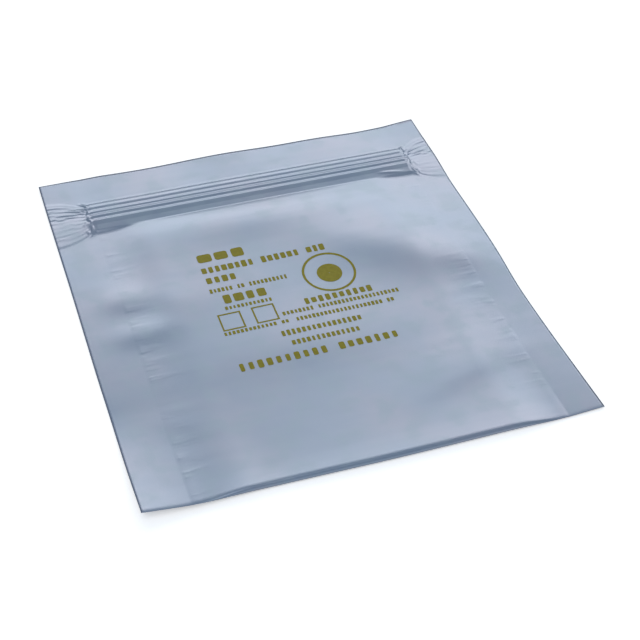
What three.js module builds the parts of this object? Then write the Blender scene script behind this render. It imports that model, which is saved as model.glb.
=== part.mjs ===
// Antistatic shielding bag with a press-to-close zip, empty, closed and lying flat on its back.
// Units are millimetres. X runs across the bag, +Y points to the mouth and +Z points up.
// The origin is the middle of the bag in plan, on the surface that it lies on.

import * as THREE from 'three';

// The folded film and its welded sides
const bagWidth = 124;
const bagHeight = 131;
const filmThickness = 0.08;
const leftSealWidth = 12.2;
const rightSealWidth = 10.2;

// How far the empty pocket stands open: it swells most a little below the zip, sinks slowly
// towards the fold in slanting waves, and puckers along the seams
const pocketGap = 0.4;
const swellGap = 0.8;
const swellPlace = 7;
const swellRise = 6;
const swellFade = 38;
const swellWave = 0.22;
const swellWavePitch = 46;
const seamStepWidth = 1.2;
const seamStepShare = 0.3;
const seamRise = 9;
const puckerPitch = 17.5;
const puckerReach = 9;
const puckerShare = 0.45;

// The bottom edge is folded and not pressed flat
const foldGap = 1.5;
const foldReach = 0.85;
const foldFade = 7;

// The two lips above the zip stand a little apart
const lipHeight = 13.7;
const lipGap = 0.2;
const mouthGap = 0.45;

// Corners of the bag that curl off the table, and how far in from the corner the curl starts
const mouthCornerLift = { left: 0.4, right: 1.2 };
const foldCornerLift = { left: 3, right: 0.3 };
const curlLength = 35;

// The zip tape: its flanges reach further towards the mouth than towards the pocket. The groove
// track's upper flange has a guide rib and stands off the back, and its lower flange lies down.
const upperFlange = 6.2;
const lowerFlange = 4.6;
const flangeThickness = 0.13;
const upperEdgeGap = 0.55;
const lowerEdgeGap = 0.12;
const edgeStripWidth = 0.9;
const flangeDip = 0.25;
const guideRibPlace = 1.52;
const guideRibHalfWidth = 0.7;
const guideRibHeight = 0.14;
const weldGap = 0.05;

// The arrow-headed rib and the hooked groove that it snaps into
const lockClearance = 0.08;
const stemHalfWidth = 0.34;
const catchWidth = 0.4;
const hookWall = 0.44;
const hookRound = 0.22;
const barbHeight = 0.18;
const barbRound = 0.14;
const headHeight = 0.25;
const headSideHeight = 0.08;
const headTipHalfWidth = 0.3;
const roofThickness = 0.14;
const hookBeadHeight = 0.14;
const beadSideHeight = 0.07;
const beadInset = 0.3;
const grooveDip = 0.05;
const roundSteps = 4;

// The crushed ends of the zip in the side seals, wrinkled most in their upper half
const trackEndGap = 0.3;
const crushAtSeam = 0.8;
const crushAtEdge = 0.25;
const crushRimWidth = 0.9;
const fanReach = 5.2;
const fanFade = 16;
const wrinkleHeight = 0.18;
const lowerWrinkleShare = 0.35;
const wrinkleSpacing = 0.8;

// Steps of the film's mesh
const leftSealSteps = 6;
const rightSealSteps = 5;
const seamColumns = [0.7, 3, 6.5, 11];
const middleSteps = 11;
const lipSteps = 3;
const bodySteps = 17;
const foldStripSteps = 2;
const foldArcSteps = 6;
const breakSlope = 1.5;

// Places that follow from the sizes
const leftEdge = -bagWidth / 2;
const rightEdge = bagWidth / 2;
const mouthEdge = bagHeight / 2;
const leftSeam = leftEdge + leftSealWidth;
const rightSeam = rightEdge - rightSealWidth;
const zipCentre = mouthEdge - lipHeight - upperFlange;
const foldTangent = -bagHeight / 2 + foldReach;
const trackEndInset = seamColumns[0] + trackEndGap;

// The zip's section across the tape, from the middle of the rib outwards
const barbHalfGap = stemHalfWidth + lockClearance;
const headHalfWidth = barbHalfGap + catchWidth;
const grooveHalfWidth = headHalfWidth + lockClearance;
const hookCentre = grooveHalfWidth + hookWall / 2;
const hookHalfWidth = grooveHalfWidth + hookWall;
const shoulder = hookHalfWidth + hookWall;
const guideRib = shoulder + guideRibPlace;

// The zip's section upwards, from the back film to the top of the groove
const backFlangeBottom = filmThickness + weldGap;
const backFlangeTop = backFlangeBottom + flangeThickness;
const hookTip = backFlangeTop + lockClearance;
const barbTop = hookTip + barbHeight;
const headBottom = barbTop + lockClearance;
const headTop = headBottom + headHeight;
const grooveRoof = headTop + lockClearance;
const zipTop = grooveRoof + roofThickness;
const upperEdgeTop = backFlangeTop + upperEdgeGap + flangeThickness;
const lowerEdgeTop = backFlangeTop + lowerEdgeGap + flangeThickness;

function lerp(a, b, t) {
  return a + (b - a) * t;
}

function smooth(t) {
  const c = Math.min(Math.max(t, 0), 1);
  return c * c * (3 - 2 * c);
}

// v is the distance from the middle of the rib, positive towards the mouth.
// How far the tape reaches on that side:
function flangeReach(v) {
  return v > 0 ? upperFlange : lowerFlange;
}

// Outer face of the groove track from the mouth side to the pocket side: the upper flange with its
// guide rib, a bead over each hook with a dip between them, and the plain lower flange
function grooveOuterFace() {
  const flangeTop = zipTop - flangeDip;
  return [
    [upperFlange, upperEdgeTop],
    [upperFlange - edgeStripWidth, upperEdgeTop],
    [guideRib + guideRibHalfWidth, flangeTop],
    [guideRib, flangeTop + guideRibHeight],
    [guideRib - guideRibHalfWidth, flangeTop],
    [shoulder, zipTop],
    [hookHalfWidth, zipTop + beadSideHeight],
    [hookCentre, zipTop + hookBeadHeight],
    [grooveHalfWidth - beadInset, zipTop + beadSideHeight],
    [0, zipTop - grooveDip],
    [beadInset - grooveHalfWidth, zipTop + beadSideHeight],
    [-hookCentre, zipTop + hookBeadHeight],
    [-hookHalfWidth, zipTop + beadSideHeight],
    [-shoulder, zipTop],
    [-lowerFlange, lowerEdgeTop],
  ];
}

const outerFace = grooveOuterFace();

// Height of that outer face anywhere across the tape
function outerFaceHeight(v) {
  for (let k = 1; k < outerFace.length; k += 1) {
    const [v0, z0] = outerFace[k - 1];
    const [v1, z1] = outerFace[k];
    if (v >= v1) {
      return lerp(z1, z0, (v - v1) / (v0 - v1));
    }
  }
  return lowerEdgeTop;
}

// Rows of the film from the mouth to the fold, as distances from the zip's centre line.
// The zip's rows lie on the corners of its outer face, with more rows for the crushed ends.
function filmRows() {
  const rows = [];
  const mouth = mouthEdge - zipCentre;
  const upperBreak = (upperEdgeTop - filmThickness) * breakSlope;
  const lowerBreak = (lowerEdgeTop - filmThickness) * breakSlope;
  for (let k = 0; k <= lipSteps; k += 1) {
    rows.push(lerp(mouth, upperFlange + upperBreak, k / lipSteps));
  }
  for (let k = 0; k + 1 < outerFace.length; k += 1) {
    const from = outerFace[k][0];
    const to = outerFace[k + 1][0];
    const steps = Math.max(Math.round((from - to) / wrinkleSpacing), 1);
    for (let n = 0; n < steps; n += 1) {
      rows.push(lerp(from, to, n / steps));
    }
  }
  rows.push(-lowerFlange);
  const fold = foldTangent - zipCentre;
  const foldStrip = fold + foldFade / 2;
  for (let k = 0; k <= bodySteps; k += 1) {
    rows.push(lerp(-lowerFlange - lowerBreak, foldStrip, k / bodySteps));
  }
  for (let k = 1; k <= foldStripSteps; k += 1) {
    rows.push(lerp(foldStrip, fold, k / foldStripSteps));
  }
  return rows;
}

// Columns of the film from the left edge to the right edge, closer together at the seams
function filmColumns() {
  const columns = [];
  for (let k = 0; k < leftSealSteps; k += 1) {
    columns.push(lerp(leftEdge, leftSeam, k / leftSealSteps));
  }
  columns.push(leftSeam);
  seamColumns.forEach((step) => columns.push(leftSeam + step));
  const reach = seamColumns[seamColumns.length - 1];
  for (let k = 1; k < middleSteps; k += 1) {
    columns.push(lerp(leftSeam + reach, rightSeam - reach, k / middleSteps));
  }
  [...seamColumns].reverse().forEach((step) => columns.push(rightSeam - step));
  columns.push(rightSeam);
  for (let k = 1; k <= rightSealSteps; k += 1) {
    columns.push(lerp(rightSeam, rightEdge, k / rightSealSteps));
  }
  return columns;
}

// Share of the way from a seam out to the bag's edge, 0 over the pocket
function sealShare(x) {
  if (x < leftSeam) {
    return (leftSeam - x) / leftSealWidth;
  }
  if (x > rightSeam) {
    return (x - rightSeam) / rightSealWidth;
  }
  return 0;
}

// In the seals the crushed zip fans out in an arc, and the rows next to it close up
function fannedY(x, v) {
  const reach = flangeReach(v);
  const room = v > 0 ? lipHeight : fanFade;
  const fade = Math.max(1 - Math.max(Math.abs(v) - reach, 0) / room, 0);
  const inward = 1 - sealShare(x);
  const shift = Math.min(Math.abs(v) / reach, 1) * fanReach * (1 - inward * inward) * fade;
  return zipCentre + v + Math.sign(v) * shift;
}

// How far a corner of the bag is lifted, nothing over the zip and the middle of the bag
function liftAt(x, y) {
  const aboveZip = zipCentre + upperFlange;
  const side = x < 0 ? 'left' : 'right';
  const across = Math.max((Math.abs(x) - bagWidth / 2 + curlLength) / curlLength, 0);
  const toMouth = Math.max((y - aboveZip) / (mouthEdge - aboveZip), 0);
  const toFold = Math.max((curlLength - bagHeight / 2 - y) / curlLength, 0);
  const lift = mouthCornerLift[side] * toMouth + foldCornerLift[side] * toFold * toFold;
  return across * across * lift;
}

// Share of the pocket's gap near a seam: a small step at the weld, then a slow rise
function seamOpening(x) {
  const fromSeam = Math.min(x - leftSeam, rightSeam - x);
  return lerp(smooth(fromSeam / seamRise), smooth(fromSeam / seamStepWidth), seamStepShare);
}

// Gap between the two films of the pocket, below the zip
function bodyGapAt(x, y) {
  const fromSeam = Math.min(x - leftSeam, rightSeam - x);
  const across = (x - leftSeam) / (rightSeam - leftSeam);
  const below = zipCentre - lowerFlange - swellPlace - y;
  const spread = below / (below < 0 ? swellRise : swellFade);
  const wave = swellWave * Math.sin((2 * Math.PI * (below + x / 2)) / swellWavePitch);
  const swell = swellGap * Math.sin(Math.PI * across) * Math.exp(-spread * spread) * (1 + wave);
  const rolled = (foldGap - pocketGap) * Math.exp((foldTangent - y) / foldFade);
  const fade = Math.exp(-fromSeam / puckerReach);
  const pucker = 1 + puckerShare * Math.cos((2 * Math.PI * y) / puckerPitch) * fade;
  return (pocketGap + swell + rolled) * pucker * seamOpening(x);
}

// Gap between the lips, above the zip
function lipGapAt(x, v) {
  const toMouth = (v - upperFlange) / lipHeight;
  return lerp(lipGap, mouthGap, toMouth) * seamOpening(x);
}

// How far each row of the crushed ends stands up (towards 1) or sinks (towards -1) in a wrinkle,
// less where rows lie close together
function wrinkleShares(stations) {
  return stations.map((v, k) => {
    const above = k > 0 ? stations[k - 1] - v : wrinkleSpacing;
    const below = k + 1 < stations.length ? v - stations[k + 1] : wrinkleSpacing;
    const room = Math.min(above / wrinkleSpacing, below / wrinkleSpacing, 1);
    return k % 2 === 0 ? room : -room;
  });
}

// Thickness left of the zip in the seals: its section pressed down to a rim,
// with wrinkles that are higher in the upper half
function crushedGapAt(x, v, ridge) {
  const share = sealShare(x);
  const full = outerFaceHeight(v) + weldGap - filmThickness;
  const height = wrinkleHeight * lerp(lowerWrinkleShare, 1, smooth(v / hookCentre));
  const wrinkle = ridge * height * smooth(share / crushAtEdge);
  const rim = smooth((flangeReach(v) - Math.abs(v) + crushRimWidth / 2) / (crushRimWidth * 1.5));
  const pressed = lerp(1, rim, smooth(share / crushAtEdge));
  return (full * lerp(crushAtSeam, crushAtEdge, share) + wrinkle) * pressed;
}

// Gap between the inner faces of the front film and the back film
function gapAt(x, v, ridge) {
  const overPocket = x > leftSeam && x < rightSeam;
  if (Math.abs(v) <= flangeReach(v)) {
    return overPocket ? outerFaceHeight(v) + weldGap - filmThickness : crushedGapAt(x, v, ridge);
  }
  if (!overPocket) {
    return 0;
  }
  return v > 0 ? lipGapAt(x, v) : bodyGapAt(x, zipCentre + v);
}

// The film is one closed mesh. Its rows run from the back lip down the back, round the fold
// and up the front to the front lip. The outer skin spans the whole width, the inner skin only
// the pocket, and at each seam the inner skins of front and back meet.
function makeFilm() {
  const columns = filmColumns();
  const stations = filmRows();
  const ridges = wrinkleShares(stations);
  const stationCount = stations.length;
  const rowCount = 2 * stationCount + foldArcSteps - 1;
  const lastRow = rowCount - 1;
  const middleRow = lastRow / 2;
  const lastColumn = columns.length - 1;
  const seamA = columns.indexOf(leftSeam);
  const seamB = columns.indexOf(rightSeam);
  const positions = [];
  const triangles = [];

  // A point of the skin that lies inset into the film's thickness, 0 on the outer skin
  function placeOn(row, x, inset) {
    const station = row < stationCount ? row : lastRow - row;
    if (station < stationCount) {
      const v = stations[station];
      const y = fannedY(x, v);
      const back = liftAt(x, y);
      const front = back + 2 * filmThickness + gapAt(x, v, ridges[station]);
      return [x, y, row < stationCount ? back + inset : front - inset];
    }
    const angle = (Math.PI * (row - stationCount + 1)) / foldArcSteps - Math.PI / 2;
    const half = filmThickness + gapAt(x, foldTangent - zipCentre, 0) / 2;
    const y = foldTangent - (foldReach - inset) * Math.cos(angle);
    return [x, y, liftAt(x, foldTangent) + half + (half - inset) * Math.sin(angle)];
  }

  function addPoint(place) {
    positions.push(...place);
    return positions.length / 3 - 1;
  }

  function addQuad(a, b, c, d, splitFromA) {
    if (splitFromA) {
      triangles.push(a, b, c, a, c, d);
    } else {
      triangles.push(a, b, d, b, c, d);
    }
  }

  const outer = [];
  const inner = [];
  for (let row = 0; row < rowCount; row += 1) {
    outer.push(columns.map((x) => addPoint(placeOn(row, x, 0))));
    inner.push([]);
  }
  for (let column = seamA + 1; column < seamB; column += 1) {
    for (let row = 0; row < rowCount; row += 1) {
      inner[row][column] = addPoint(placeOn(row, columns[column], filmThickness));
    }
  }
  for (const column of [seamA, seamB]) {
    for (let row = 0; row <= middleRow; row += 1) {
      const [x, y, low] = placeOn(row, columns[column], filmThickness);
      const high = placeOn(lastRow - row, columns[column], filmThickness)[2];
      const meeting = addPoint([x, y, (low + high) / 2]);
      inner[row][column] = meeting;
      inner[lastRow - row][column] = meeting;
    }
  }

  for (let row = 0; row < lastRow; row += 1) {
    const onFront = row >= middleRow;
    for (let column = 0; column < lastColumn; column += 1) {
      const next = column + 1;
      addQuad(outer[row][column], outer[row][next], outer[row + 1][next], outer[row + 1][column], onFront);
      if (column >= seamA && column < seamB) {
        addQuad(inner[row][next], inner[row][column], inner[row + 1][column], inner[row + 1][next], !onFront);
      }
    }
  }

  // The cut edges of the welded sides
  for (let row = 0; row < middleRow; row += 1) {
    const mate = lastRow - row;
    const left = [outer[row][0], outer[row + 1][0], outer[mate - 1][0], outer[mate][0]];
    const right = [mate, mate - 1, row + 1, row].map((r) => outer[r][lastColumn]);
    if (row + 1 === middleRow) {
      triangles.push(left[0], left[1], left[3], right[0], right[1], right[3]);
    } else {
      addQuad(...left, true);
      addQuad(...right, true);
    }
  }

  // The cut edge at the mouth: two thicknesses welded in the seals, two free lips between them
  for (let column = 0; column < lastColumn; column += 1) {
    const next = column + 1;
    const back = [outer[0][next], outer[0][column]];
    const front = [outer[lastRow][column], outer[lastRow][next]];
    if (column >= seamA && column < seamB) {
      addQuad(...back, inner[0][column], inner[0][next], true);
      addQuad(inner[lastRow][next], inner[lastRow][column], ...front, true);
    } else if (next === seamA) {
      const seam = inner[0][seamA];
      triangles.push(seam, back[0], back[1], seam, back[1], front[0], seam, front[0], front[1]);
    } else if (column === seamB) {
      const seam = inner[0][seamB];
      triangles.push(seam, front[0], front[1], seam, front[1], back[0], seam, back[0], back[1]);
    } else {
      addQuad(...back, ...front, true);
    }
  }

  const geometry = new THREE.BufferGeometry();
  geometry.setAttribute('position', new THREE.Float32BufferAttribute(positions, 3));
  geometry.setIndex(triangles);
  geometry.computeVertexNormals();
  return geometry;
}

// A track is its section drawn in (v, z) and extruded along X between the crushed ends
function makeTrack(section) {
  const length = rightSeam - leftSeam - 2 * trackEndInset;
  const options = { depth: length, bevelEnabled: false, curveSegments: roundSteps };
  const geometry = new THREE.ExtrudeGeometry(section, options);
  const alongY = new THREE.Vector3(0, 1, 0);
  const alongZ = new THREE.Vector3(0, 0, 1);
  const alongX = new THREE.Vector3(1, 0, 0);
  geometry.applyMatrix4(new THREE.Matrix4().makeBasis(alongY, alongZ, alongX));
  return geometry;
}

// Half of the groove track's underside, from the groove's roof out to the flange's edge
function hookOutline(side) {
  const path = new THREE.Path();
  path.moveTo(side * grooveHalfWidth, grooveRoof);
  path.lineTo(side * grooveHalfWidth, barbTop);
  path.lineTo(side * barbHalfGap, barbTop);
  path.lineTo(side * barbHalfGap, hookTip + barbRound);
  path.quadraticCurveTo(side * barbHalfGap, hookTip, side * (barbHalfGap + barbRound), hookTip);
  path.lineTo(side * (hookHalfWidth - hookRound), hookTip);
  path.quadraticCurveTo(side * hookHalfWidth, hookTip, side * hookHalfWidth, hookTip + hookRound);
  path.lineTo(side * hookHalfWidth, grooveRoof);
  path.lineTo(side * shoulder, zipTop - flangeThickness);
  if (side > 0) {
    path.lineTo(guideRib - guideRibHalfWidth, zipTop - flangeDip - flangeThickness);
    path.lineTo(guideRib + guideRibHalfWidth, zipTop - flangeDip - flangeThickness);
    path.lineTo(upperFlange - edgeStripWidth, upperEdgeTop - flangeThickness);
    path.lineTo(upperFlange, upperEdgeTop - flangeThickness);
  } else {
    path.lineTo(-lowerFlange, lowerEdgeTop - flangeThickness);
  }
  return path.getPoints(roundSteps);
}

// Groove track, welded to the front film: two hooks hang from its roof, their barbs facing each other
function grooveSection() {
  const face = outerFace.map(([v, z]) => new THREE.Vector2(v, z));
  return new THREE.Shape([...face, ...hookOutline(-1).reverse(), ...hookOutline(1)]);
}

// Rib track, welded to the back film: a flat flange with an arrow-headed rib along its middle
function ribSection() {
  const section = new THREE.Shape();
  section.moveTo(-lowerFlange, backFlangeBottom);
  section.lineTo(upperFlange, backFlangeBottom);
  section.lineTo(upperFlange, backFlangeTop);
  section.lineTo(stemHalfWidth, backFlangeTop);
  section.lineTo(stemHalfWidth, headBottom);
  section.lineTo(headHalfWidth, headBottom);
  section.lineTo(headHalfWidth, headBottom + headSideHeight);
  section.quadraticCurveTo(headHalfWidth, headTop, headTipHalfWidth, headTop);
  section.lineTo(-headTipHalfWidth, headTop);
  section.quadraticCurveTo(-headHalfWidth, headTop, -headHalfWidth, headBottom + headSideHeight);
  section.lineTo(-headHalfWidth, headBottom);
  section.lineTo(-stemHalfWidth, headBottom);
  section.lineTo(-stemHalfWidth, backFlangeTop);
  section.lineTo(-lowerFlange, backFlangeTop);
  section.closePath();
  return section;
}

const filmMaterial = new THREE.MeshStandardMaterial({ color: 0xa5b4c8, roughness: 0.35, metalness: 0.6 });
const zipMaterial = new THREE.MeshStandardMaterial({ color: 0xd9dee4, roughness: 0.4, metalness: 0 });

const bag = new THREE.Group();

const film = new THREE.Mesh(makeFilm(), filmMaterial);
film.name = 'film_bag';
bag.add(film);

const zip = new THREE.Group();
zip.position.set(leftSeam + trackEndInset, zipCentre, 0);
bag.add(zip);

const grooveTrack = new THREE.Mesh(makeTrack(grooveSection()), zipMaterial);
grooveTrack.name = 'zip_groove_track';
zip.add(grooveTrack);

const ribTrack = new THREE.Mesh(makeTrack(ribSection()), zipMaterial);
ribTrack.name = 'zip_rib_track';
zip.add(ribTrack);

export default bag;
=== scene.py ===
import math

import bpy
import numpy as np
from mathutils import Matrix, Vector


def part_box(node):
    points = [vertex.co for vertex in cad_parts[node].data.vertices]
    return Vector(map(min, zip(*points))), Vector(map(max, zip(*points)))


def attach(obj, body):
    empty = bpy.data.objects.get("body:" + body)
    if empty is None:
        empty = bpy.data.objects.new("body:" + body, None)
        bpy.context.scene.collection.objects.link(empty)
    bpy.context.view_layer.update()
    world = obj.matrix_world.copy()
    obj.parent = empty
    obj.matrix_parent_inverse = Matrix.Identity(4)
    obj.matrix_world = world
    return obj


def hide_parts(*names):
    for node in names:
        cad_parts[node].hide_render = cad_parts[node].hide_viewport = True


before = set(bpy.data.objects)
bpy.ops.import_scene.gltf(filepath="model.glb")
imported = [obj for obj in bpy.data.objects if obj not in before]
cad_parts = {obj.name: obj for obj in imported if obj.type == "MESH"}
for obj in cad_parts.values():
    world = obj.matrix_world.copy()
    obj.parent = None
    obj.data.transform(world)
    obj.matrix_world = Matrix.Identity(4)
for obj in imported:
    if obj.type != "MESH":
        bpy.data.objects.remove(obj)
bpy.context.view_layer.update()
MM = 0.001


# The film bag. One sheet of metallised film is folded at the bottom and welded down both sides,
# with the zip's ends crushed flat inside the welds. It is made here as one closed skin that
# follows the folded sheet from the back lip round the fold to the front lip.
(bag_left, bag_bottom, _), (bag_right, bag_top, _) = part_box("film_bag")
(track_left, zip_low, _), (track_right, zip_high, _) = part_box("zip_groove_track")
TRACK_INSET = 1.0 * MM
FILM = 0.08 * MM
left_seam = track_left - TRACK_INSET
right_seam = track_right + TRACK_INSET
UPPER_FLANGE = 6.2 * MM
zip_centre = zip_high - UPPER_FLANGE
lower_flange = zip_centre - zip_low
FOLD_REACH = 0.85 * MM
FOLD_FADE = 11 * MM
FOLD_GAP = 1.5 * MM
POCKET_GAP = 0.28 * MM
fold_line = bag_bottom + FOLD_REACH

# Height of the front film over the closed zip, in mm: crests and hollows across the tape, from the
# edge of the lower flange over the two beads and the guide rib to the edge of the upper flange
ZIP_CRESTS = [(-4.6, 0.63), (-2.7, 0.92), (-1.9, 1.11), (-1.12, 1.29), (0, 1.07), (1.12, 1.31), (2.5, 0.90),
              (3.3, 1.05), (4.3, 0.89), (5.4, 1.05), (6.2, 1.02)]

# Below this line the film runs straight from crest to crest, above it in soft rounds
ROUND_FROM = -1.2 * MM


def smooth(t):
    t = np.clip(t, 0.0, 1.0)
    return t * t * (3.0 - 2.0 * t)


def hump(t):
    """A round-topped rise of height 1 over t from -1 to 1."""
    return np.where(np.abs(t) < 1.0, 0.5 + 0.5 * np.cos(np.pi * np.clip(t, -1.0, 1.0)), 0.0)


def bell(t):
    return np.exp(-t * t)


def steps(start, stop, count):
    """Values from start towards stop, without stop itself."""
    return list(np.linspace(start, stop, count, endpoint=False))


def reach_at(v):
    return np.where(v > 0, UPPER_FLANGE, lower_flange)


def zip_relief(v):
    """Height of the front film's inner face over the closed zip, at v from its centre line."""
    places = np.array([c[0] for c in ZIP_CRESTS]) * MM
    heights = np.array([c[1] for c in ZIP_CRESTS]) * MM
    k = np.clip(np.searchsorted(places, v) - 1, 0, len(places) - 2)
    share = np.clip((v - places[k]) / (places[k + 1] - places[k]), 0.0, 1.0)
    share = np.where(places[k] < ROUND_FROM, share, smooth(share))
    return heights[k] + (heights[k + 1] - heights[k]) * share


def seal_share(x):
    """How far out a place lies in a side seal, 0 at the seam and 1 at the bag's edge."""
    left = (left_seam - x) / (left_seam - bag_left)
    right = (x - right_seam) / (bag_right - right_seam)
    return np.clip(np.maximum(left, right), 0.0, 1.0)


FAN_REACH = 5.2 * MM
FAN_FADE = 16 * MM


def fanned(x, v):
    """Rows of the film spread out over the crushed zip ends and close up beside them."""
    reach = reach_at(v)
    room = np.where(v > 0, bag_top - zip_high, FAN_FADE)
    fade = np.clip(1.0 - np.maximum(np.abs(v) - reach, 0.0) / room, 0.0, 1.0)
    inward = 1.0 - seal_share(x)
    shift = np.minimum(np.abs(v) / reach, 1.0) * FAN_REACH * (1.0 - inward * inward) * fade
    return zip_centre + v + np.sign(v) * shift


# The lifted corners: how far in from each edge they start, how they steepen, and their heights
CURL = 35 * MM
CURL_POWER = 1.6
FOLD_LEFT_LIFT = 3.0 * MM
FOLD_RIGHT_LIFT = 0.3 * MM

# Waves of the two free lips at the mouth, in mm: place across, half width and height
LIP_WAVES = [(-60, 20, 0.35), (-10, 16, 0.28), (64, 13, 0.7)]
LIP_POWER = 1.3

# Low waves of both films together, across the seams, in mm: crest, half length, width on the mouth
# side and on the fold side, height, and turn in degrees. They fade out towards the zip.
WAVE_FADE = 12 * MM
SHEET_WAVES = [
    (-48, 10.0, 7, 6, 5.5, 0.40, -6),
    (-46, -4.0, 9, 5, 4.5, 0.32, 0),
    (-45, -38.5, 7, 8, 4, 0.09, -30),
    (40, 9.0, 34, 22, 13, 0.85, -29),
    (48, 1.0, 8, 8, 6, 0.32, -14),
    (48, -39.0, 6, 8, 5, 0.14, 16),
]


def wave_lift(x, y, waves):
    """Height of soft waves, each a crest with its own width on either side."""
    lift = 0.0 * x
    for cx, cy, length, mouth_side, fold_side, height, turn in waves:
        c, s = math.cos(math.radians(turn)), math.sin(math.radians(turn))
        away = ((x - cx * MM) * c + (y - cy * MM) * s) / (length * MM)
        over = ((y - cy * MM) * c - (x - cx * MM) * s) / MM
        over = over / np.where(over > 0, mouth_side, fold_side)
        lift = lift + height * MM * bell(away) * bell(over)
    return lift


def curl(x, y):
    """How far the corners and the wavy lips of the bag are lifted off the table."""
    half_width = (bag_right - bag_left) / 2
    across = np.clip((np.abs(x) - half_width + CURL) / CURL, 0.0, 1.0) ** CURL_POWER
    fold = np.clip((bag_bottom + CURL - y) / CURL, 0.0, 1.0) ** CURL_POWER
    lift = across * fold * np.where(x < 0, FOLD_LEFT_LIFT, FOLD_RIGHT_LIFT)
    mouth = np.clip((y - zip_high) / (bag_top - zip_high), 0.0, 1.0) ** LIP_POWER
    for place, half, height in LIP_WAVES:
        lift = lift + height * MM * bell((x - place * MM) / (half * MM)) * mouth
    return lift + wave_lift(x, y, SHEET_WAVES) * smooth((zip_low - y) / WAVE_FADE)


# Soft swells of the empty pocket, in mm: crest, half length, width on the mouth side and on the
# fold side, height, and turn in degrees
SWELLS = [
    (-4, 34.5, 60, 6.5, 36, 0.85, 0),
    (-5, 34.0, 27, 7, 9, 0.56, 0),
    (29, 14.5, 20, 22, 13, 0.34, -29),
    (35, -42, 19, 12, 5, 0.28, 19),
    (-6, -20, 26, 14, 9, 0.24, 0),
    (-38, 5, 12, 7, 7, 0.20, 0),
    (0, -57, 55, 17, 30, 0.25, 0),
]

# Short puckers that run in from the seams, in mm: place along the seam, half height, depth and length
LEFT_PUCKERS = [
    (26.2, 1.2, 0.24, 3.5), (19.6, 1.0, 0.17, 2.8), (-15.6, 1.0, 0.17, 3.5), (-21.3, 0.9, 0.15, 2.8),
    (-33.6, 1.3, 0.24, 3.5), (-43.6, 1.3, 0.21, 3.5), (-50.8, 1.1, 0.21, 3.5), (-54.9, 0.9, 0.17, 2.8),
]
RIGHT_PUCKERS = [
    (31.2, 1.1, 0.14, 4.2), (26.6, 1.1, 0.14, 4.2), (18.8, 1.2, 0.20, 2.8), (-13.6, 1.3, 0.22, 4.2),
    (-21.5, 1.0, 0.18, 2.8), (-31.0, 1.0, 0.16, 2.8), (-43.8, 1.4, 0.16, 3.5), (-57.5, 1.6, 0.20, 2.8),
]


# The films part by a small step at the seams, and then by a long soft rise
SEAM_STEP = 0.06
STEP_REACH = 1.0 * MM
POCKET_RISE = 16 * MM
SWELL_RISE = 14 * MM
PUCKER_START = 1.2 * MM
LEAST_GAP = 0.12 * MM

# A faint upright crease beside the left seam
CREASE_PLACE = -46.1 * MM
CREASE_HALF = 0.7 * MM
CREASE_LOW = -28 * MM
CREASE_HIGH = -14 * MM
CREASE_FADE = 3 * MM
CREASE_HEIGHT = 0.12 * MM


def pocket_gap(x, y):
    """Gap between the two films of the pocket below the zip."""
    from_left = x - left_seam
    from_right = right_seam - x
    near = np.minimum(from_left, from_right)
    step = SEAM_STEP * smooth(near / STEP_REACH)
    rise = (1.0 - SEAM_STEP) * smooth(from_left / POCKET_RISE) * smooth(from_right / POCKET_RISE)
    gap = POCKET_GAP + (FOLD_GAP - POCKET_GAP) * np.exp((fold_line - y) / FOLD_FADE)
    gap = gap + wave_lift(x, y, SWELLS) * smooth(from_left / SWELL_RISE) * smooth(from_right / SWELL_RISE)
    for side, puckers in ((from_left, LEFT_PUCKERS), (from_right, RIGHT_PUCKERS)):
        for cy, half, depth, length in puckers:
            reach = np.exp(-side / (length * MM)) * smooth(side / PUCKER_START)
            over = (y - cy * MM) / (half * MM)
            gap = gap + depth * MM * reach * (bell(over) - 0.7 * bell(over + 1.6))
    crease = bell((x - CREASE_PLACE) / CREASE_HALF) * smooth((y - CREASE_LOW) / CREASE_FADE)
    crease = crease * smooth((CREASE_HIGH - y) / CREASE_FADE)
    gap = gap + CREASE_HEIGHT * crease
    return np.maximum(gap, LEAST_GAP) * (step + rise)


# How far the cut edges and the fold run out of straight, in mm at nine even places: upwards along
# the sides, and from left to right along the mouth and the fold
LEFT_CUT = [-0.30, -0.35, -0.25, -0.30, -0.20, -0.10, -0.10, -0.10, 0.0]
RIGHT_CUT = [0.45, -0.15, -0.70, -1.00, -0.50, -0.35, -0.35, 0.10, -0.20]
MOUTH_CUT = [0.15, 0.33, -0.10, 0.40, 0.30, 0.18, 0.09, -0.05, 0.90]
FOLD_RUN = [0.60, 0.20, 0.40, 0.05, -0.37, -0.58, -0.71, -0.90, -0.50]


def along(values, share):
    """A smooth curve through even values, at a share of the way from the first to the last."""
    values = np.array(values)
    slopes = np.gradient(values)
    place = np.clip(share, 0.0, 1.0) * (len(values) - 1)
    k = np.minimum(place.astype(int), len(values) - 2)
    t = place - k
    ends = values[k] * (1 + 2 * t) * (1 - t) ** 2 + values[k + 1] * t * t * (3 - 2 * t)
    return ends + slopes[k] * t * (1 - t) ** 2 - slopes[k + 1] * t * t * (1 - t)


def cut_shape(points):
    """Points of the straight-edged sheet moved to where the real, slightly uneven edges run."""
    x, y = points[..., 0], points[..., 1]
    across = (x - bag_left) / (bag_right - bag_left)
    up = (y - bag_bottom) / (bag_top - bag_bottom)
    to_left = np.clip(1 - 2 * across, 0, 1) ** 3
    to_right = np.clip(2 * across - 1, 0, 1) ** 3
    to_mouth = np.clip(2 * up - 1, 0, 1) ** 6
    to_fold = np.clip(1 - 2 * up, 0, 1) ** 4
    moved = points.copy()
    moved[..., 0] += MM * (along(LEFT_CUT, up) * to_left + along(RIGHT_CUT, up) * to_right)
    moved[..., 1] += MM * (along(MOUTH_CUT, across) * to_mouth + along(FOLD_RUN, across) * to_fold)
    return moved


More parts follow.
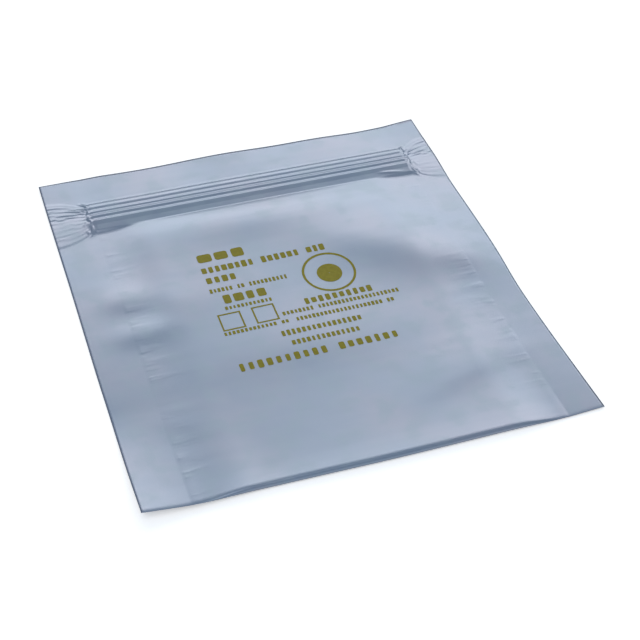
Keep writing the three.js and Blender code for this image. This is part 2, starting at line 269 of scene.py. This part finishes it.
LIP_RISE = 8 * MM


def lip_gap(x, v):
    """Gap between the two free lips above the zip, which part a little in slow waves."""
    near = np.minimum(x - left_seam, right_seam - x)
    opening = smooth(near / LIP_RISE)
    out = (v - UPPER_FLANGE) / (bag_top - zip_high)
    wave = 0.5 + 0.25 * np.sin(x / (11 * MM) + 0.6) + 0.2 * np.sin(x / (4.7 * MM) + 2.0)
    return (0.12 + 0.5 * wave * out) * MM * opening


# The crushed zip ends: the height they keep at the seam and where they are pressed flat, the fine
# wrinkles, which are faint on the lower flange, and the crumpled ridges just outside the seam
SQUEEZE = 0.75
CRUSHED_HEIGHT = 0.32 * MM
CRUSHED_LEAST = 0.1 * MM
CRUSHED_RIM = 0.6 * MM
WRINKLE_HEIGHT = 0.10 * MM
LOWER_WRINKLES = 0.16
CRUMPLE_HEIGHT = 0.19 * MM
CRUMPLE_START = 0.4 * MM

# The ridges: mm outside the seam, half width in mm, share of the height, and the way each wanders
CRUMPLES = [(0.5, 0.40, 1.0, -1), (1.3, 0.40, -0.9, -1), (2.2, 0.45, 0.6, 1)]


def crushed_gap(x, v, share):
    """What is left of the zip's height in the seals, with wrinkles that fan out to the edge."""
    pressed = smooth(share * 5)
    flat = CRUSHED_HEIGHT * (1.0 - (v / reach_at(v)) ** 2) * (1.0 - 0.4 * share)
    body = (zip_relief(v) - FILM) * SQUEEZE * (1.0 - pressed) + flat * pressed

    amount = LOWER_WRINKLES + (1.0 - LOWER_WRINKLES) * smooth((v - 0.6 * MM) / (1.6 * MM))
    drift = 0.8 * np.sin(9 * share + v / (1.1 * MM)) + 0.5 * np.sin(17 * share + 2.0)
    fine = np.cos(v / (0.155 * MM) + drift) + 0.6 * np.cos(v / (0.092 * MM) + 3.0 - drift)
    broken = 0.65 + 0.35 * np.sin(v / (0.63 * MM) + 7 * share)
    wrinkle = WRINKLE_HEIGHT * fine * broken * amount * smooth(share * 6)

    outside = share * np.where(x < 0, left_seam - bag_left, bag_right - right_seam)
    wander = 0.35 * MM * np.sin(v / (0.9 * MM)) + 0.2 * MM * np.sin(v / (0.37 * MM) + 1.0)
    rough = 0.55 + 0.45 * np.sin(v / (0.55 * MM) + 1.7)
    crumple = 0.0 * v
    for place, half, height, way in CRUMPLES:
        crumple = crumple + height * bell((outside - place * MM + way * wander) / (half * MM))
    crumple = CRUMPLE_HEIGHT * crumple * rough * smooth(outside / CRUMPLE_START)

    rim = smooth((reach_at(v) - np.abs(v)) / CRUSHED_RIM)
    rim = 1.0 - (1.0 - rim) * smooth(share * 4)
    return np.maximum(body + wrinkle + crumple, CRUSHED_LEAST) * rim


# How far the front film needs beyond the tape's edges to come down to the back
UPPER_BREAK = 1.9 * MM
LOWER_BREAK = 1.1 * MM

# A short slanted crease in the lower flange, near the zip's right end
NICK_PLACE = 45 * MM
NICK_HALF = 5.5 * MM
NICK_DOWN = 3.6 * MM
NICK_SLANT = 0.2
NICK_WIDTH = 0.4 * MM
NICK_HEIGHT = 0.2 * MM


def front_gap(x, v, y):
    """Gap between the inner faces of the front film and the back film, anywhere on the bag."""
    share = seal_share(x)
    in_pocket = (x > left_seam) & (x < right_seam)
    reach = reach_at(v)
    on_zip = np.abs(v) <= reach
    away_from_nick = x - NICK_PLACE
    nick = hump(away_from_nick / NICK_HALF) * bell((v + NICK_DOWN + NICK_SLANT * away_from_nick) / NICK_WIDTH)
    over_zip = np.where(in_pocket, zip_relief(v) - FILM + NICK_HEIGHT * nick, crushed_gap(x, v, share))
    above = lip_gap(np.clip(x, left_seam, right_seam), v)
    below = pocket_gap(np.clip(x, left_seam, right_seam), y)
    off_zip = np.where(v > 0, above, below)
    away = (np.abs(v) - reach) / np.where(v > 0, UPPER_BREAK, LOWER_BREAK)
    edge = zip_relief(np.sign(v) * reach) - FILM
    edge = edge * np.where(in_pocket, 1.0, 0.72 * (1.0 - smooth(share * 4)))
    blend = edge + (off_zip - edge) * smooth(away)
    return np.where(on_zip, over_zip, blend)


# Where the skin's columns and rows lie closer: in the crumpled part of each seal, inside the seams,
# and above the fold, which itself is turned in short steps
LEFT_FINE = 4.2 * MM
RIGHT_FINE = 3.6 * MM
FOLD_FINE = 4 * MM
FOLD_ARC = 10


def make_columns():
    """Columns from the left edge to the right edge."""
    return np.array(
        steps(bag_left, left_seam - LEFT_FINE, 12)
        + steps(left_seam - LEFT_FINE, left_seam, 20)
        + steps(left_seam, left_seam + STEP_REACH, 2)
        + steps(left_seam + STEP_REACH, right_seam - STEP_REACH, 84)
        + steps(right_seam - STEP_REACH, right_seam, 2)
        + steps(right_seam, right_seam + RIGHT_FINE, 17)
        + steps(right_seam + RIGHT_FINE, bag_right, 10)
        + [bag_right]
    )


def make_stations():
    """Rows from the mouth to the fold, as distances from the zip's centre line."""
    mouth = bag_top - zip_centre
    fold = fold_line - zip_centre
    return np.array(
        steps(mouth, UPPER_FLANGE + UPPER_BREAK, 13)
        + steps(UPPER_FLANGE + UPPER_BREAK, UPPER_FLANGE, 6)
        + steps(UPPER_FLANGE, -lower_flange, 62)
        + steps(-lower_flange, -lower_flange - LOWER_BREAK, 3)
        + steps(-lower_flange - LOWER_BREAK, fold + FOLD_FINE, 86)
        + steps(fold + FOLD_FINE, fold, 6)
        + [fold]
    )


def film_skin():
    """Points and faces of the folded sheet: an outer skin, and an inner one round the pocket."""
    columns = make_columns()
    stations = make_stations()
    n_st = len(stations)
    n_rows = 2 * n_st + FOLD_ARC - 1
    last = n_rows - 1
    middle = last // 2
    n_col = len(columns)
    seam_a = int(np.argmin(np.abs(columns - left_seam)))
    seam_b = int(np.argmin(np.abs(columns - right_seam)))

    x, v = np.meshgrid(columns, stations)
    y = fanned(x, v)
    lift = curl(x, y)
    gap = front_gap(x, v, y)

    def skin(inset):
        back = np.stack([x, y, lift + inset], axis=2)
        front = np.stack([x, y, lift + 2 * FILM + gap - inset], axis=2)
        half = FILM + gap[-1] / 2
        arc = []
        for k in range(1, FOLD_ARC):
            angle = math.pi * k / FOLD_ARC - math.pi / 2
            arc_y = np.full(n_col, fold_line - (FOLD_REACH - inset) * math.cos(angle))
            arc_z = curl(columns, np.full(n_col, fold_line)) + half + (half - inset) * math.sin(angle)
            arc.append(np.stack([columns, arc_y, arc_z], axis=1))
        return cut_shape(np.concatenate([back, np.array(arc), front[::-1]], axis=0))

    outer_points = skin(0.0)
    inner_points = skin(FILM)[:, seam_a:seam_b + 1].copy()
    for edge in (0, -1):
        seam = inner_points[:, edge]
        seam[:, 2] = (seam[:, 2] + seam[::-1, 2]) / 2

    outer = np.arange(n_rows * n_col).reshape(n_rows, n_col)
    inner = np.full((n_rows, n_col), -1)
    width = seam_b - seam_a + 1
    inner[:, seam_a:seam_b + 1] = n_rows * n_col + np.arange(n_rows * width).reshape(n_rows, width)
    for row in range(middle + 1, n_rows):
        for column in (seam_a, seam_b):
            inner[row, column] = inner[last - row, column]

    faces = []

    def strip(grid, row, flip, first, stop):
        for c in range(first, stop):
            quad = [grid[row, c], grid[row, c + 1], grid[row + 1, c + 1], grid[row + 1, c]]
            faces.append(quad[::-1] if flip else quad)

    for row in range(last):
        strip(outer, row, False, 0, n_col - 1)
        strip(inner, row, True, seam_a, seam_b)
    for row in range(middle):
        mate = last - row
        left = [outer[row, 0], outer[row + 1, 0], outer[mate - 1, 0], outer[mate, 0]]
        right = [outer[mate, -1], outer[mate - 1, -1], outer[row + 1, -1], outer[row, -1]]
        if row + 1 == middle:
            left = [left[0], left[1], left[3]]
            right = [right[0], right[1], right[3]]
        faces.append(left)
        faces.append(right)
    for c in range(n_col - 1):
        back = [outer[0, c + 1], outer[0, c]]
        front = [outer[last, c], outer[last, c + 1]]
        if seam_a <= c < seam_b:
            faces.append(back + [inner[0, c], inner[0, c + 1]])
            faces.append([inner[last, c + 1], inner[last, c]] + front)
        elif c + 1 == seam_a:
            faces.append(back + front + [inner[0, seam_a]])
        elif c == seam_b:
            faces.append([back[0], back[1], inner[0, seam_b]] + front)
        else:
            faces.append(back + front)
    points = np.concatenate([outer_points.reshape(-1, 3), inner_points.reshape(-1, 3)])
    return points, faces


def new_piece(name, points, faces, material):
    mesh = bpy.data.meshes.new(name)
    mesh.from_pydata([tuple(p) for p in points], [], [[int(i) for i in f] for f in faces])
    mesh.validate()
    for polygon in mesh.polygons:
        polygon.use_smooth = True
    mesh.materials.append(material)
    piece = bpy.data.objects.new(name, mesh)
    bpy.context.collection.objects.link(piece)
    return piece


def new_material(name):
    material = bpy.data.materials.new(name)
    material.use_nodes = True
    return material, material.node_tree.nodes, material.node_tree.links


def new_cover(name, masks=()):
    """A shader node group that turns a place and some masks into colour, roughness and height."""
    group = bpy.data.node_groups.new(name, "ShaderNodeTree")
    group.interface.new_socket(name="Place", in_out="INPUT", socket_type="NodeSocketVector")
    for label in masks:
        group.interface.new_socket(name=label, in_out="INPUT", socket_type="NodeSocketFloat")
    group.interface.new_socket(name="Color", in_out="OUTPUT", socket_type="NodeSocketColor")
    for label in ("Roughness", "Height"):
        group.interface.new_socket(name=label, in_out="OUTPUT", socket_type="NodeSocketFloat")
    return group, group.nodes.new("NodeGroupInput")


def finish_cover(group, colour, roughness, height):
    result = group.nodes.new("NodeGroupOutput")
    group.links.new(colour, result.inputs["Color"])
    group.links.new(roughness, result.inputs["Roughness"])
    group.links.new(height, result.inputs["Height"])


def covered_material(name, group, values):
    """A material with a cover group on the piece's own coordinates, and plain values for the rest."""
    material, nodes, links = new_material(name)
    shader = nodes["Principled BSDF"]
    for label, value in values.items():
        shader.inputs[label].default_value = value
    coordinates = nodes.new("ShaderNodeTexCoord")
    cover = nodes.new("ShaderNodeGroup")
    cover.node_tree = group
    bump = nodes.new("ShaderNodeBump")
    bump.inputs["Strength"].default_value = 1.0
    bump.inputs["Distance"].default_value = 1.0 * MM
    links.new(coordinates.outputs["Object"], cover.inputs["Place"])
    links.new(cover.outputs["Color"], shader.inputs["Base Color"])
    links.new(cover.outputs["Roughness"], shader.inputs["Roughness"])
    links.new(cover.outputs["Height"], bump.inputs["Height"])
    links.new(bump.outputs["Normal"], shader.inputs["Normal"])
    return material, cover


def add_noise(tree, place, scale, detail=2.0, stretch=None):
    """Noise in the object's own coordinates, optionally stretched along an axis."""
    noise = tree.nodes.new("ShaderNodeTexNoise")
    noise.inputs["Scale"].default_value = scale
    noise.inputs["Detail"].default_value = detail
    if stretch:
        mapping = tree.nodes.new("ShaderNodeMapping")
        mapping.inputs["Scale"].default_value = stretch
        tree.links.new(place, mapping.inputs["Vector"])
        place = mapping.outputs["Vector"]
    tree.links.new(place, noise.inputs["Vector"])
    return noise.outputs["Fac"]


def add_range(tree, value, low, high, to_low=0.0, to_high=1.0):
    """A value's range from low to high, turned softly into another range."""
    node = tree.nodes.new("ShaderNodeMapRange")
    node.interpolation_type = "SMOOTHSTEP"
    for label, number in (("From Min", low), ("From Max", high), ("To Min", to_low), ("To Max", to_high)):
        node.inputs[label].default_value = number
    tree.links.new(value, node.inputs["Value"])
    return node.outputs["Result"]


def add_math(tree, operation, first, second):
    node = tree.nodes.new("ShaderNodeMath")
    node.operation = operation
    for socket, value in zip(node.inputs, (first, second)):
        if isinstance(value, (int, float)):
            socket.default_value = value
        else:
            tree.links.new(value, socket)
    return node.outputs["Value"]


def add_sum(tree, *parts):
    """The sum of several values, each given with its share."""
    products = [add_math(tree, "MULTIPLY", value, share) for value, share in parts]
    total = products[0]
    for product in products[1:]:
        total = add_math(tree, "ADD", total, product)
    return total


def add_mix(tree, share, first, second, strength=1.0):
    """The first colour, turned into the second by a share."""
    if strength != 1.0:
        share = add_math(tree, "MULTIPLY", share, strength)
    node = tree.nodes.new("ShaderNodeMix")
    node.data_type = "RGBA"
    tree.links.new(share, node.inputs["Factor"])
    for socket, value in ((node.inputs[6], first), (node.inputs[7], second)):
        if isinstance(value, tuple):
            socket.default_value = value
        else:
            tree.links.new(value, socket)
    return node.outputs[2]


# The film's colour: a thin metal layer seen through two clear plies, grey blue, with faint lavender
# and green patches where the layer is a little thinner or thicker, and fine streaks along the web
FILM_BLUE = (0.314, 0.365, 0.454, 1)
FILM_LAVENDER = (0.360, 0.380, 0.462, 1)
FILM_GREEN = (0.316, 0.392, 0.452, 1)
FILM_STREAK = (0.299, 0.347, 0.436, 1)
FILM_EDGE = (0.15, 0.115, 0.15, 1)
FILM_VALUES = {"Metallic": 0.8, "Coat Weight": 0.25, "Coat Roughness": 0.22}

layer, given = new_cover("metal_layer_colour", ("Edge", "Seam"))
place = given.outputs["Place"]
patches = add_range(layer, add_noise(layer, place, 38, 3), 0.36, 0.64)
spots = add_range(layer, add_noise(layer, place, 150, 4), 0.42, 0.68)
streaks = add_noise(layer, place, 420, 2, (0.03, 1, 1))
grain = add_noise(layer, place, 2600, 2)
waves = add_noise(layer, place, 95, 2)
ripple = add_noise(layer, place, 260, 1, (0.35, 1, 1))
puckers = add_range(layer, add_noise(layer, place, 300, 2, (0.16, 1, 1)), 0.48, 0.72)
puckers = add_math(layer, "MULTIPLY", puckers, given.outputs["Seam"])
colour = add_mix(layer, patches, FILM_BLUE, FILM_LAVENDER)
colour = add_mix(layer, spots, colour, FILM_GREEN, 0.5)
colour = add_mix(layer, streaks, colour, FILM_STREAK, 0.35)
colour = add_mix(layer, given.outputs["Edge"], colour, FILM_EDGE, 0.45)
roughness = add_range(layer, spots, 0.0, 1.0, 0.29, 0.34)
roughness = add_math(layer, "ADD", roughness, add_math(layer, "MULTIPLY", streaks, 0.06))
height = add_sum(layer, (waves, 0.030), (puckers, 0.05), (ripple, 0.008), (grain, 0.0009))
finish_cover(layer, colour, roughness, height)

film_material, cover = covered_material("metallised_film", layer, FILM_VALUES)
for label, attribute in (("Edge", "cut_edge"), ("Seam", "near_seam")):
    mask = film_material.node_tree.nodes.new("ShaderNodeAttribute")
    mask.attribute_name = attribute
    film_material.node_tree.links.new(mask.outputs["Fac"], cover.inputs[label])

points, faces = film_skin()
used = sorted({int(i) for face in faces for i in face})
new_index = {old: new for new, old in enumerate(used)}
faces = [[new_index[int(i)] for i in face] for face in faces]
film = new_piece("film_skin", points[used], faces, film_material)


def mark_points(piece, name, values):
    attribute = piece.data.attributes.new(name, "FLOAT", "POINT")
    attribute.data.foreach_set("value", values)


# The masks: a thin line along the cut edges, and a strip along each seam below the zip
EDGE_LINE = 0.3 * MM
SEAM_STRIP = 4 * MM
STRIP_BELOW = 2 * MM
STRIP_FADE = 3 * MM
places = np.array([v.co for v in film.data.vertices])
x, y = places[:, 0], places[:, 1]
to_edge = np.minimum(np.minimum(x - bag_left, bag_right - x), bag_top - y)
to_seam = np.minimum(x - left_seam, right_seam - x)
below_zip = smooth((zip_low - STRIP_BELOW - y) / STRIP_FADE)
mark_points(film, "cut_edge", np.clip(1.0 - to_edge / EDGE_LINE, 0.0, 1.0))
mark_points(film, "near_seam", smooth(to_seam / STEP_REACH) * np.exp(-to_seam / SEAM_STRIP) * below_zip)

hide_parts("film_bag")
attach(film, "root")


# The print. Olive ink is printed on the front film before the bag is folded. It is made here as
# thin raised patches that follow the film: rows of plain rounded blocks, a plain ring round a
# plain disc, and two plain square frames.
INK_LIFT = 0.012 * MM
INK_DEPTH = 0.018 * MM
INK_LIGHT = (0.255, 0.218, 0.016, 1)
INK_OLIVE = (0.215, 0.180, 0.008, 1)
INK_DARK = (0.205, 0.175, 0.010, 1)
INK_VALUES = {"Metallic": 0.1, "Specular IOR Level": 0.25}

# Rows, in mm: left end, right end, middle, height, pitch of the blocks, share of gaps, fill, seed
PRINT_ROWS = [
    (-25.3, -10.4, 19.3, 3.6, 4.97, 0.0, 0.88, 1),
    (-25.3, 14.4, 14.2, 2.6, 1.98, 0.12, 0.80, 21),
    (-25.2, -15.9, 9.9, 2.6, 2.33, 0.0, 0.78, 3),
    (-25.3, -2.0, 5.6, 1.6, 1.16, 0.10, 0.74, 4),
    (-22.9, -9.4, 1.5, 3.4, 3.37, 0.0, 0.86, 5),
    (-23.0, -9.0, -2.0, 1.3, 1.16, 0.12, 0.72, 6),
    (-26.1, -7.2, -11.6, 1.3, 1.18, 0.10, 0.72, 7),
    (-1.0, 19.9, -5.7, 2.3, 2.09, 0.0, 0.80, 8),
    (-8.3, 26.9, -8.6, 1.5, 1.17, 0.12, 0.74, 9),
    (-5.3, 24.2, -11.7, 1.5, 1.18, 0.10, 0.74, 10),
    (-11.1, 12.7, -16.0, 2.0, 1.49, 0.06, 0.72, 11),
    (-9.4, 10.7, -20.0, 1.8, 1.44, 0.12, 0.72, 12),
    (-26.2, 20.4, -24.8, 2.7, 2.59, 0.08, 0.66, 23),
]

# Closed outlines, in mm: middle, half width, number of sides, width of the line
PRINT_MARKS = [
    ((10.1, 3.8), 7.9, 64, 0.75), ((10.1, 3.4), 3.7, 64, 3.6),
    ((-22.5, -7.2), 3.3, 4, 0.5), ((-12.7, -7.0), 3.3, 4, 0.5),
]

# The sides of a square are cut into short parts, so that they follow the film
SQUARE = 4
SQUARE_PARTS = 12

# The blocks: how round their corners are, for their pitch, and how their sizes spread
CORNER_SHARE = 0.18
CORNER_POINTS = 3
LEAST_SIZE = (0.7, 0.86, 1.0)
MOST_SIZE = (1.0, 1.1, 1.0)
WELD = 0.001 * MM


def block_row_group(material):
    """Geometry nodes: a row of thin rounded blocks with random gaps and heights."""
    group = bpy.data.node_groups.new("block_row", "GeometryNodeTree")
    sockets = {}
    for label, kind in (
        ("Length", "NodeSocketFloat"), ("Pitch", "NodeSocketFloat"), ("Height", "NodeSocketFloat"),
        ("Gaps", "NodeSocketFloat"), ("Fill", "NodeSocketFloat"), ("Depth", "NodeSocketFloat"),
        ("Seed", "NodeSocketInt"),
    ):
        sockets[label] = group.interface.new_socket(name=label, in_out="INPUT", socket_type=kind).identifier
    group.interface.new_socket(name="Geometry", in_out="OUTPUT", socket_type="NodeSocketGeometry")
    given = group.nodes.new("NodeGroupInput")
    result = group.nodes.new("NodeGroupOutput")

    def add(kind, **values):
        node = group.nodes.new(kind)
        for label, value in values.items():
            setattr(node, label, value)
        return node

    def join(source, target):
        group.links.new(source, target)

    count = add_math(group, "DIVIDE", given.outputs["Length"], given.outputs["Pitch"])
    count = add_math(group, "ROUND", count, 0)
    line = add("GeometryNodeMeshLine", mode="OFFSET")
    join(count, line.inputs["Count"])
    step = add("ShaderNodeCombineXYZ")
    join(add_math(group, "DIVIDE", given.outputs["Length"], count), step.inputs["X"])
    join(step.outputs[0], line.inputs["Offset"])
    points = add("GeometryNodeMeshToPoints")
    join(line.outputs[0], points.inputs[0])
    gap = add("FunctionNodeRandomValue", data_type="BOOLEAN")
    join(given.outputs["Gaps"], gap.inputs["Probability"])
    join(given.outputs["Seed"], gap.inputs["Seed"])
    thinned = add("GeometryNodeDeleteGeometry", domain="POINT")
    join(points.outputs[0], thinned.inputs["Geometry"])
    join(gap.outputs["Value"], thinned.inputs["Selection"])

    outline = add("GeometryNodeCurvePrimitiveQuadrilateral")
    join(add_math(group, "MULTIPLY", given.outputs["Pitch"], given.outputs["Fill"]), outline.inputs["Width"])
    join(given.outputs["Height"], outline.inputs["Height"])
    rounded = add("GeometryNodeFilletCurve", mode="POLY")
    rounded.inputs["Count"].default_value = CORNER_POINTS
    join(outline.outputs[0], rounded.inputs["Curve"])
    join(add_math(group, "MULTIPLY", given.outputs["Pitch"], CORNER_SHARE), rounded.inputs["Radius"])
    filled = add("GeometryNodeFillCurve", mode="NGONS")
    join(rounded.outputs[0], filled.inputs["Curve"])
    raised = add("GeometryNodeExtrudeMesh")
    join(filled.outputs[0], raised.inputs["Mesh"])
    join(given.outputs["Depth"], raised.inputs["Offset Scale"])
    underside = add("GeometryNodeFlipFaces")
    join(filled.outputs[0], underside.inputs["Mesh"])
    both = add("GeometryNodeJoinGeometry")
    join(underside.outputs[0], both.inputs[0])
    join(raised.outputs["Mesh"], both.inputs[0])
    closed = add("GeometryNodeMergeByDistance")
    join(both.outputs[0], closed.inputs["Geometry"])
    closed.inputs["Distance"].default_value = WELD

    spread = add("FunctionNodeRandomValue", data_type="FLOAT_VECTOR")
    spread.inputs["Min"].default_value = LEAST_SIZE
    spread.inputs["Max"].default_value = MOST_SIZE
    join(given.outputs["Seed"], spread.inputs["Seed"])
    placed = add("GeometryNodeInstanceOnPoints")
    join(thinned.outputs[0], placed.inputs["Points"])
    join(closed.outputs[0], placed.inputs["Instance"])
    join(spread.outputs[0], placed.inputs["Scale"])
    real = add("GeometryNodeRealizeInstances")
    join(placed.outputs[0], real.inputs[0])
    painted = add("GeometryNodeSetMaterial")
    join(real.outputs[0], painted.inputs["Geometry"])
    painted.inputs["Material"].default_value = material
    join(painted.outputs[0], result.inputs[0])
    return group, sockets


def front_height(x, y):
    """Height of the front film's outer face over the pocket."""
    return curl(x, y) + 2 * FILM + front_gap(x, y - zip_centre, y)


def row_mesh(group, sockets, row):
    """One row of blocks as a plain mesh, flat and in its place on the sheet."""
    left, right, middle, height, pitch, gaps, fill, seed = row
    carrier = bpy.data.objects.new("row", bpy.data.meshes.new("row"))
    bpy.context.collection.objects.link(carrier)
    modifier = carrier.modifiers.new("row", "NODES")
    modifier.node_group = group
    values = {
        "Length": (right - left) * MM, "Pitch": pitch * MM, "Height": height * MM,
        "Gaps": gaps, "Fill": fill, "Depth": INK_DEPTH, "Seed": seed,
    }
    for label, value in values.items():
        modifier[sockets[label]] = value
    bpy.context.view_layer.update()
    made = bpy.data.meshes.new_from_object(carrier.evaluated_get(bpy.context.evaluated_depsgraph_get()))
    bpy.data.objects.remove(carrier)
    points = np.array([v.co for v in made.vertices])
    points[:, 0] += (left + pitch / 2) * MM
    points[:, 1] += middle * MM
    faces = [list(f.vertices) for f in made.polygons]
    bpy.data.meshes.remove(made)
    return points, faces


def mark_mesh(mark):
    """A closed outline with a rectangular section, as points in plan and in depth."""
    (cx, cy), half, sides, line = mark
    turn = math.pi / sides
    points = []
    radius = half / math.cos(turn) if sides == SQUARE else half
    parts = SQUARE_PARTS if sides == SQUARE else 1
    for r in (radius, radius - line / math.cos(turn)):
        for k in range(sides):
            for n in range(parts):
                a0 = turn + 2 * turn * k
                a1 = a0 + 2 * turn
                t = n / parts
                px = r * (math.cos(a0) * (1 - t) + math.cos(a1) * t)
                py = r * (math.sin(a0) * (1 - t) + math.sin(a1) * t)
                points.append(((cx + px) * MM, (cy + py) * MM))
    count = sides * parts
    low = [(x, y, 0.0) for x, y in points]
    high = [(x, y, INK_DEPTH) for x, y in points]
    faces = []
    for k in range(count):
        n = (k + 1) % count
        out, ins = (k, n), (count + k, count + n)
        top = 2 * count
        faces.append([top + out[0], top + out[1], top + ins[1], top + ins[0]])
        faces.append([out[1], out[0], ins[0], ins[1]])
        faces.append([out[0], out[1], top + out[1], top + out[0]])
        faces.append([ins[1], ins[0], top + ins[0], top + ins[1]])
    return np.array(low + high), faces


ink, given = new_cover("ink_cover")
place = given.outputs["Place"]
thin = add_range(ink, add_noise(ink, place, 900, 3), 0.38, 0.66)
broad = add_noise(ink, place, 60, 2)
colour = add_mix(ink, thin, INK_OLIVE, INK_LIGHT)
colour = add_mix(ink, broad, colour, INK_DARK, 0.4)
finish_cover(ink, colour, add_range(ink, thin, 0.0, 1.0, 0.42, 0.52), add_sum(ink, (thin, 0.004)))
ink_material, _ = covered_material("olive_ink", ink, INK_VALUES)

row_group, row_sockets = block_row_group(ink_material)
patches = [row_mesh(row_group, row_sockets, row) for row in PRINT_ROWS]
patches.extend([mark_mesh(mark) for mark in PRINT_MARKS])
print_points = []
print_faces = []
for points, faces in patches:
    first = len(print_points)
    depth = points[:, 2]
    on_film = front_height(points[:, 0], points[:, 1]) + INK_LIFT + depth
    print_points.extend(np.stack([points[:, 0], points[:, 1], on_film], axis=1))
    print_faces.extend([[first + i for i in f] for f in faces])
print_marks = new_piece("print_marks", print_points, print_faces, ink_material)
for polygon in print_marks.data.polygons:
    polygon.use_smooth = False
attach(print_marks, "root")


# The zip. Two extruded tracks in cloudy plastic lock into each other, and each is welded by its
# flanges to the inside of one film. They show only as relief in the front film, and from the mouth.
PLASTIC_DULL = (0.70, 0.745, 0.79, 1)
PLASTIC_PALE = (0.75, 0.78, 0.81, 1)
PLASTIC_LINE = (0.62, 0.67, 0.72, 1)
PLASTIC_VALUES = {"Transmission Weight": 0.25, "IOR": 1.51}

drawn, given = new_cover("drawn_plastic")
place = given.outputs["Place"]
die_lines = add_noise(drawn, place, 1500, 2, (0.01, 1, 1))
cloud = add_range(drawn, add_noise(drawn, place, 180, 3), 0.35, 0.65)
colour = add_mix(drawn, cloud, PLASTIC_DULL, PLASTIC_PALE)
colour = add_mix(drawn, die_lines, colour, PLASTIC_LINE, 0.3)
roughness = add_range(drawn, die_lines, 0.3, 0.7, 0.32, 0.46)
finish_cover(drawn, colour, roughness, add_sum(drawn, (die_lines, 0.010), (cloud, 0.004)))
zip_material, _ = covered_material("zip_plastic", drawn, PLASTIC_VALUES)
for name in ("zip_groove_track", "zip_rib_track"):
    track = bpy.data.objects[name]
    track.data.materials.clear()
    track.data.materials.append(zip_material)


# The floor. A plain white table stands a hair below the bag and takes its soft shadow. It is a
# little brighter to the camera, so that the background stays white.
FLOOR_SIZE = 6
FLOOR_DROP = 0.2 * MM
FLOOR_WHITE = (0.95, 0.95, 0.95, 1)
FLOOR_TINT = (1.0, 0.95, 0.90, 1)
FLOOR_GLOW = 0.42
bpy.ops.mesh.primitive_plane_add(size=FLOOR_SIZE, location=(0, 0, -FLOOR_DROP))
floor = bpy.context.object
floor.name = "floor"
floor_material, nodes, links = new_material("white_table")
shader = nodes["Principled BSDF"]
shader.inputs["Base Color"].default_value = FLOOR_WHITE
shader.inputs["Roughness"].default_value = 0.8
shader.inputs["Emission Color"].default_value = FLOOR_TINT
seen = nodes.new("ShaderNodeLightPath")
glow = add_math(floor_material.node_tree, "MULTIPLY", seen.outputs["Is Camera Ray"], FLOOR_GLOW)
links.new(glow, shader.inputs["Emission Strength"])
floor.data.materials.append(floor_material)


# The light. A faintly blue room fills the shadows, and two large soft lamps, aimed at the middle
# of the bag, give the film its sheen: one low behind the bag and one above its front left.
ROOM_BLUE = (0.70, 0.90, 1.12, 1)
ROOM_LIGHT = 0.42
world = bpy.data.worlds.new("studio")
bpy.context.scene.world = world
world.use_nodes = True
world.node_tree.nodes["Background"].inputs["Color"].default_value = ROOM_BLUE
world.node_tree.nodes["Background"].inputs["Strength"].default_value = ROOM_LIGHT


def softbox(name, place, size, watts, colour):
    """A soft lamp, out of the camera's sight and aimed at the origin."""
    data = bpy.data.lights.new(name, "AREA")
    data.shape = "RECTANGLE"
    data.size, data.size_y = size
    data.energy = watts
    data.color = colour
    lamp = bpy.data.objects.new(name, data)
    bpy.context.collection.objects.link(lamp)
    lamp.location = place
    lamp.rotation_euler = (-Vector(place)).to_track_quat("-Z", "Y").to_euler()
    lamp.visible_camera = False


softbox("back_box", (0.5, 1.3, 0.85), (2.2, 0.9), 9.8, (1.0, 0.95, 0.88))
softbox("front_box", (-0.5, -0.5, 1.3), (1.0, 1.0), 7.0, (1.0, 0.97, 0.935))


# The camera, where the photograph was taken from
LENS_PX = 1279.6
FRAME_PX = 640
SENSOR = 36
camera_data = bpy.data.cameras.new("camera")
camera_data.sensor_width = SENSOR
camera_data.lens = LENS_PX / FRAME_PX * SENSOR
camera_data.clip_start = 0.01
camera = bpy.data.objects.new("camera", camera_data)
bpy.context.collection.objects.link(camera)
turn = Matrix(((0.94093, 0.20454, -0.26983), (-0.33524, 0.67467, -0.65760), (0.04754, 0.70921, 0.70339)))
camera.matrix_world = Matrix.Translation((-0.0949, -0.24771, 0.25084)) @ turn.to_4x4()
bpy.context.scene.camera = camera
bpy.context.scene.view_settings.view_transform = "Standard"
